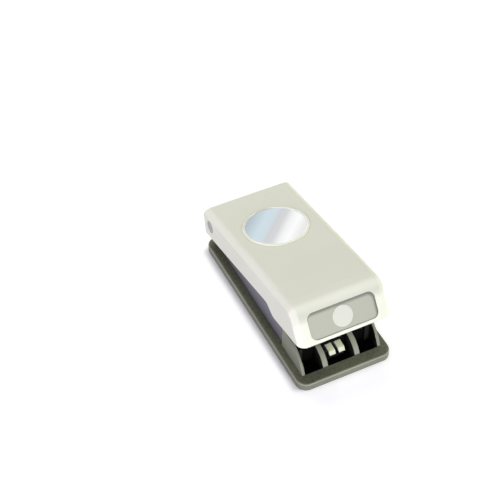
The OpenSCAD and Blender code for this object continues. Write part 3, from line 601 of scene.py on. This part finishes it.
def easedCopy(node, name, material, edge):
    source = frame["nodes"][node].data
    mesh = bpy.data.meshes.new(name)
    mesh.from_pydata([v.co for v in source.vertices], [], [p.vertices for p in source.polygons])
    work = bmesh.new()
    work.from_mesh(mesh)
    bmesh.ops.remove_doubles(work, verts=work.verts, dist=easing["merge"])
    bmesh.ops.dissolve_limit(
        work, angle_limit=math.radians(easing["flatWithin"]), verts=work.verts, edges=work.edges)
    for face in work.faces:
        face.smooth = True
    work.to_mesh(mesh)
    work.free()
    piece = bpy.data.objects.new(name, mesh)
    scene.collection.objects.link(piece)
    mesh.materials.append(materials[material])
    if edge:
        ease = piece.modifiers.new("easedEdge", "BEVEL")
        ease.width = edge * mm
        ease.segments = easing["segments"]
        ease.limit_method = "ANGLE"
        ease.angle_limit = math.radians(easing["fromAngle"])
        ease.use_clamp_overlap = node in clampedNodes
    else:
        mesh.set_sharp_from_angle(angle=math.radians(easing["sharpFrom"]))
    even = piece.modifiers.new("evenShade", "WEIGHTED_NORMAL")
    even.keep_sharp = True
    even.weight = easing["evenWeight"]
    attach(piece, frame["nodes"][node]["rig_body"])
    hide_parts(node)


for node, (name, material, slot, edge) in rigidPieces.items():
    easedCopy(node, name, material, edge)
print("rigid pieces:", len(rigidPieces))


# Geometry Nodes: a tree with named inputs, and its result baked to a plain mesh
bakedSharpFrom = 35  # degrees between the faces at a sharp edge


def newShapeTree(name, inputs):
    tree = bpy.data.node_groups.new(name, "GeometryNodeTree")
    tree.is_modifier = True
    tree.interface.new_socket("Geometry", in_out="INPUT", socket_type="NodeSocketGeometry")
    for label, kind in inputs:
        tree.interface.new_socket(label, in_out="INPUT", socket_type=kind)
    tree.interface.new_socket("Geometry", in_out="OUTPUT", socket_type="NodeSocketGeometry")
    return tree, tree.nodes.new("NodeGroupInput").outputs, tree.nodes.new("NodeGroupOutput").inputs


def placeCopies(tree, given, out, shape, turn=None):
    # one copy of the shape on each point, as real geometry with its material
    copies = addNode(tree, "GeometryNodeInstanceOnPoints", {"Points": given["Geometry"], "Instance": shape})
    if turn:
        tree.links.new(turn, copies.inputs["Rotation"])
    real = addNode(tree, "GeometryNodeRealizeInstances", {"Geometry": copies.outputs[0]})
    dressed = addNode(tree, "GeometryNodeSetMaterial", {"Geometry": real.outputs[0], "Material": given["Material"]})
    tree.links.new(dressed.outputs[0], out["Geometry"])


def bakeShape(name, tree, points, values):
    mesh = bpy.data.meshes.new(name + "Points")
    mesh.from_pydata(points, [], [])
    piece = bpy.data.objects.new(name, mesh)
    grow = piece.modifiers.new("grow", "NODES")
    grow.node_group = tree
    for item in tree.interface.items_tree:
        if item.in_out == "INPUT" and item.name in values:
            grow[item.identifier] = values[item.name]
    scene.collection.objects.link(piece)
    bpy.context.view_layer.update()
    baked = bpy.data.meshes.new_from_object(piece.evaluated_get(bpy.context.evaluated_depsgraph_get()))
    piece.modifiers.remove(grow)
    piece.data = baked
    baked.shade_smooth()
    baked.set_sharp_from_angle(angle=math.radians(bakedSharpFrom))
    return piece


# Return springs: round wire with a closed turn at each end, in millimetres
springs = {
    "nodes": ("return_spring_front_left", "return_spring_front_right",
              "return_spring_back_left", "return_spring_back_right"),
    "coil": 7.2,
    "wire": 1.0,
    "turns": 5.5,
    "pressed": 0.39,  # share of the height that is left at the end of the stroke
    "points": 140,
    "sides": 10,
}


def coilTree():
    tree, given, out = newShapeTree("coilSpring", [
        ("Coil Diameter", "NodeSocketFloat"),
        ("Wire Diameter", "NodeSocketFloat"),
        ("Height", "NodeSocketFloat"),
        ("Turns", "NodeSocketFloat"),
        ("Material", "NodeSocketMaterial"),
    ])
    wire, turns = given["Wire Diameter"], given["Turns"]
    line = addNode(tree, "GeometryNodeCurvePrimitiveLine")
    points = addNode(tree, "GeometryNodeResampleCurve", {"Curve": line.outputs[0], "Count": springs["points"]})
    along = addNode(tree, "GeometryNodeSplineParameter").outputs["Factor"]
    turned = product(tree, along, turns)
    angle = product(tree, turned, math.tau)
    # the wire rises by its own thickness over the first and last turn, and evenly over those between
    openTurns = calc(tree, "SUBTRACT", turns, 2.0)
    first = calc(tree, "MINIMUM", turned, 1.0)
    middle = calc(tree, "MINIMUM", calc(tree, "MAXIMUM", calc(tree, "SUBTRACT", turned, 1.0)), openTurns)
    last = calc(tree, "MAXIMUM", calc(tree, "SUBTRACT", turned, calc(tree, "SUBTRACT", turns, 1.0)))
    openHeight = calc(tree, "SUBTRACT", given["Height"], product(tree, wire, 3.0))
    pitch = calc(tree, "DIVIDE", openHeight, openTurns)
    closedTurns = calc(tree, "ADD", calc(tree, "ADD", first, last), 0.5)
    rise = calc(tree, "ADD", product(tree, closedTurns, wire), product(tree, middle, pitch))
    radius = product(tree, given["Coil Diameter"], 0.5)
    spot = combined(
        tree, product(tree, radius, calc(tree, "COSINE", angle)),
        product(tree, radius, calc(tree, "SINE", angle)), rise)
    helix = addNode(tree, "GeometryNodeSetPosition", {"Geometry": points.outputs[0], "Position": spot})
    section = addNode(tree, "GeometryNodeCurvePrimitiveCircle", {
        "Resolution": springs["sides"], "Radius": product(tree, wire, 0.5)})
    coil = addNode(tree, "GeometryNodeCurveToMesh", {
        "Curve": helix.outputs[0], "Profile Curve": section.outputs[0], "Fill Caps": True})
    placeCopies(tree, given, out, coil.outputs[0])
    return tree


def makeSprings():
    boxes = [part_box(node) for node in springs["nodes"]]
    floor, top = boxes[0][0][2], boxes[0][1][2]
    seats = [((low[0] + high[0]) / 2, (low[1] + high[1]) / 2, floor) for low, high in boxes]
    piece = bakeShape("returnSprings", coilTree(), seats, {
        "Coil Diameter": springs["coil"] * mm, "Wire Diameter": springs["wire"] * mm,
        "Height": top - floor, "Turns": springs["turns"], "Material": materials["springWire"]})
    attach(piece, "base")
    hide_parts(*springs["nodes"])
    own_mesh(piece)


makeSprings()
print("springs:", len(springs["nodes"]))


# Screws: a countersunk or flat head with a cross recess, on a plain shank, in millimetres
screwHead = {
    "diameter": 6.0,
    "shank": 3.0,
    "recessLength": 3.4,
    "recessWidth": 0.8,
    "recessDepth": 0.7,
    "headSides": 40,
    "shankSides": 24,
}
leverTilt = math.radians(-leverPlace["turn"])
screwRows = {
    # node: (piece, body, way from head to tip, head height, neck diameter)
    "plate_screws": ("plateScrews", "base", (0, 0, 1), 1.2, 3.1),
    "head_screws": ("headScrews", "base", (0, 0, 1), 1.2, 3.1),
    "block_screws": ("blockScrews", "base", (0, 0, 1), 1.2, 3.1),
    "cutter_screws": ("cutterScrews", "punch", (0, 0, -1), 2.0, 5.6),
    "beam_screws": ("beamScrews", "lever", (0, math.sin(leverTilt), math.cos(leverTilt)), 2.0, 5.6),
}


def screwTree():
    tree, given, out = newShapeTree("crossScrew", [
        ("Head Diameter", "NodeSocketFloat"),
        ("Head Height", "NodeSocketFloat"),
        ("Neck Diameter", "NodeSocketFloat"),
        ("Shank Diameter", "NodeSocketFloat"),
        ("Length", "NodeSocketFloat"),
        ("Recess Length", "NodeSocketFloat"),
        ("Recess Width", "NodeSocketFloat"),
        ("Recess Depth", "NodeSocketFloat"),
        ("Way", "NodeSocketVector"),
        ("Seed", "NodeSocketInt"),
        ("Material", "NodeSocketMaterial"),
    ])

    def half(name):
        return product(tree, given[name], 0.5)

    head = addNode(tree, "GeometryNodeMeshCone", {
        "Vertices": screwHead["headSides"], "Radius Bottom": half("Head Diameter"),
        "Radius Top": half("Neck Diameter"), "Depth": given["Head Height"]})
    # the shank starts in the middle of the head
    reach = calc(tree, "SUBTRACT", given["Length"], half("Head Height"))
    shank = addNode(tree, "GeometryNodeMeshCylinder", {
        "Vertices": screwHead["shankSides"], "Radius": half("Shank Diameter"), "Depth": reach})
    middle = product(tree, calc(tree, "ADD", given["Length"], half("Head Height")), 0.5)
    raised = addNode(tree, "GeometryNodeTransform", {
        "Geometry": shank.outputs[0], "Translation": combined(tree, z=middle)})
    solid = addNode(tree, "GeometryNodeMeshBoolean", operation="UNION", solver="MANIFOLD")
    tree.links.new(head.outputs[0], solid.inputs[1])
    tree.links.new(raised.outputs[0], solid.inputs[1])
    cut = addNode(tree, "GeometryNodeMeshBoolean", {0: solid.outputs[0]}, operation="DIFFERENCE", solver="MANIFOLD")
    deep = product(tree, given["Recess Depth"], 2.0)
    for long, wide in (("Recess Length", "Recess Width"), ("Recess Width", "Recess Length")):
        slot = addNode(tree, "GeometryNodeMeshCube", {"Size": combined(tree, given[long], given[wide], deep)})
        tree.links.new(slot.outputs[0], cut.inputs[1])
    aim = addNode(tree, "FunctionNodeAlignRotationToVector", {"Vector": given["Way"]}, axis="Z")
    spin = addNode(tree, "FunctionNodeRandomValue", {"Min": 0.0, "Max": math.tau, "Seed": given["Seed"]})
    around = addNode(tree, "FunctionNodeAxisAngleToRotation", {"Angle": spin.outputs["Value"]})
    turn = addNode(tree, "FunctionNodeRotateRotation", {
        "Rotation": aim.outputs[0], "Rotate By": around.outputs[0]}, rotation_space="LOCAL")
    placeCopies(tree, given, out, cut.outputs["Mesh"], turn.outputs[0])
    return tree


def screwSeats(node, way):
    # middle of each head's face, and the screws' length
    work = bmesh.new()
    work.from_mesh(frame["nodes"][node].data)
    bmesh.ops.remove_doubles(work, verts=work.verts, dist=easing["merge"])
    way = Vector(way)
    waiting = set(work.verts)
    seats = []
    length = 0
    for start in work.verts:
        if start not in waiting:
            continue
        waiting.remove(start)
        island = [start]
        for vert in island:
            for edge in vert.link_edges:
                other = edge.other_vert(vert)
                if other in waiting:
                    waiting.remove(other)
                    island.append(other)
        middle = sum((vert.co for vert in island), Vector()) / len(island)
        along = [vert.co.dot(way) for vert in island]
        length = max(along) - min(along)
        seats.append(middle + way * (min(along) - middle.dot(way)))
    work.free()
    return sorted(tuple(round(value, 6) for value in seat) for seat in seats), length


def makeScrews():
    tree = screwTree()
    for seed, (node, (name, body, way, height, neck)) in enumerate(screwRows.items()):
        seats, length = screwSeats(node, way)
        piece = bakeShape(name, tree, seats, {
            "Head Diameter": screwHead["diameter"] * mm, "Head Height": height * mm, "Neck Diameter": neck * mm,
            "Shank Diameter": screwHead["shank"] * mm, "Length": length,
            "Recess Length": screwHead["recessLength"] * mm, "Recess Width": screwHead["recessWidth"] * mm,
            "Recess Depth": screwHead["recessDepth"] * mm, "Way": way, "Seed": seed,
            "Material": materials["pinSteel"]})
        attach(piece, body)
        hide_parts(node)


makeScrews()
print("screws:", len(screwRows), "rows")


# Stage: white floor with a painted shadow beside the slab, four large soft lamps, a faint sky, and a card for the
# mirror disc to reflect
stage = {
    "floorSize": 6.0,
    "floorColor": (0.85, 0.85, 0.85, 1),
    "floorGlow": 0.44,
    "floorFade": (0.2, 1.0),  # metres from the part, over which the glow grows to white
    "skyStrength": 0.05,
}
slabShade = {
    # in millimetres, the slab's outline moved to the left, where it keeps the glow off the floor: a painted shadow
    # along the slab's left side
    "middle": (-6.5, -1.9, 0),
    "half": (37.85, 81.1, 0),
    "corner": 8.0,
    "shade": (-6.0, 0.0),
}
lamps = {
    # lamp: azimuth and elevation in degrees, distance and size in metres, power in watts, colour
    "topLamp": (178, 53, 1.4, 0.9, 8.3, (1, 1, 0.93)),
    "frontLamp": (3, 12.5, 1.4, 0.54, 15.2, (1, 1, 1.04)),
    "leftLamp": (-87, 28, 1.1, 0.95, 5.7, (1.0, 0.945, 1.13)),
    "rightLamp": (100, 32, 1.4, 0.7, 6.4, (1, 1, 0.95)),
}
card = {
    "middle": (0.0811, 0.2443, 0.1542),
    "along": (0.69363, 0.08950, -0.71475),
    "across": (0.64313, -0.52388, 0.55851),
    "length": 0.14,
    "width": 0.14,
    "start": -16.4,  # of the bands, in mm along the width
    "span": 60.0,
    "bands": (
        # share of the span, colour
        (0.0, (0.46, 0.51, 0.55)),
        (0.24, (0.65, 0.77, 0.83)),
        (0.36, (0.67, 0.75, 0.80)),
        (0.41, (0.66, 0.68, 0.70)),
        (0.5, (0.70, 0.70, 0.70)),
        (0.6, (0.93, 0.93, 0.93)),
        (0.7, (1.02, 1.02, 1.02)),
        (0.85, (0.85, 0.85, 0.83)),
    ),
}


def seenDirectly(tree):
    # camera, glossy and transmission rays
    path = addNode(tree, "ShaderNodeLightPath").outputs
    first = calc(tree, "MAXIMUM", path["Is Camera Ray"], path["Is Glossy Ray"])
    return calc(tree, "MAXIMUM", first, path["Is Transmission Ray"])


def stagePiece(name, paint, corners):
    # a flat piece of the stage, and the empty tree of its material
    mesh = bpy.data.meshes.new(name)
    mesh.from_pydata(corners, [], [(0, 1, 2, 3)])
    piece = bpy.data.objects.new(name, mesh)
    scene.collection.objects.link(piece)
    material = bpy.data.materials.new(paint)
    material.use_nodes = True
    material.node_tree.nodes.clear()
    mesh.materials.append(material)
    return piece, material.node_tree


def makeFloor():
    half = stage["floorSize"] / 2
    corners = [(-half, -half, 0), (half, -half, 0), (half, half, 0), (-half, half, 0)]
    floor, tree = stagePiece("floor", "floorWhite", corners)
    place = coords(tree)
    far = ramp(tree, vector(tree, "LENGTH", place), *stage["floorFade"], stage["floorGlow"], 1.0)
    # painted shadow: the glow fades out inside the slab's outline moved to the left
    beside = vector(tree, "SUBTRACT", place, Vector(slabShade["middle"]) * mm)
    offPaintedShadow = fade(tree, boxDistance(tree, beside, slabShade), *slabShade["shade"])
    light = addNode(tree, "ShaderNodeEmission", {"Strength": product(tree, seenDirectly(tree), far, offPaintedShadow)})
    matt = addNode(tree, "ShaderNodeBsdfDiffuse", {"Color": stage["floorColor"]})
    both = addNode(tree, "ShaderNodeAddShader", {0: matt.outputs[0], 1: light.outputs[0]})
    addNode(tree, "ShaderNodeOutputMaterial", {"Surface": both.outputs[0]})


def makeLamp(name, azimuth, elevation, distance, size, power, color):
    data = bpy.data.lights.new(name, "AREA")
    data.shape = "DISK"
    data.size = size
    data.energy = power
    data.color = color
    lamp = bpy.data.objects.new(name, data)
    way = wayOut(azimuth, elevation)
    lamp.location = way * distance
    addFacing(lamp, way)


def makeSky():
    world = bpy.data.worlds.new("sky")
    scene.world = world
    world.use_nodes = True
    tree = world.node_tree
    tree.nodes.clear()
    strength = mapped(tree, seenDirectly(tree), 0.0, 1.0, stage["skyStrength"], 1.0)
    sky = addNode(tree, "ShaderNodeBackground", {"Color": (1, 1, 1, 1), "Strength": strength})
    addNode(tree, "ShaderNodeOutputWorld", {"Surface": sky.outputs[0]})


def makeCard():
    middle, along, across = Vector(card["middle"]), Vector(card["along"]), Vector(card["across"])
    corners = [middle + along * card["length"] * a + across * card["width"] * b
               for a, b in ((-0.5, -0.5), (0.5, -0.5), (0.5, 0.5), (-0.5, 0.5))]
    piece, tree = stagePiece("reflectedCard", "cardBands", corners)
    reach = vector(tree, "DOT_PRODUCT", coords(tree), across)
    share = mapped(tree, reach, card["start"] * mm, (card["start"] + card["span"]) * mm)
    bands = addNode(tree, "ShaderNodeValToRGB", {"Fac": share})
    stops = bands.color_ramp.elements
    while len(stops) < len(card["bands"]):
        stops.new(1.0)
    for stop, (position, color) in zip(stops, card["bands"]):
        stop.position = position
        stop.color = (*color, 1)
    light = addNode(tree, "ShaderNodeEmission", {"Color": bands.outputs["Color"]})
    addNode(tree, "ShaderNodeOutputMaterial", {"Surface": light.outputs[0]})
    piece.visible_camera = False
    piece.visible_diffuse = False
    piece.visible_shadow = False
    piece.visible_transmission = False


makeFloor()
for lampName, settings in lamps.items():
    makeLamp(lampName, *settings)
makeSky()
makeCard()
print("stage ready")
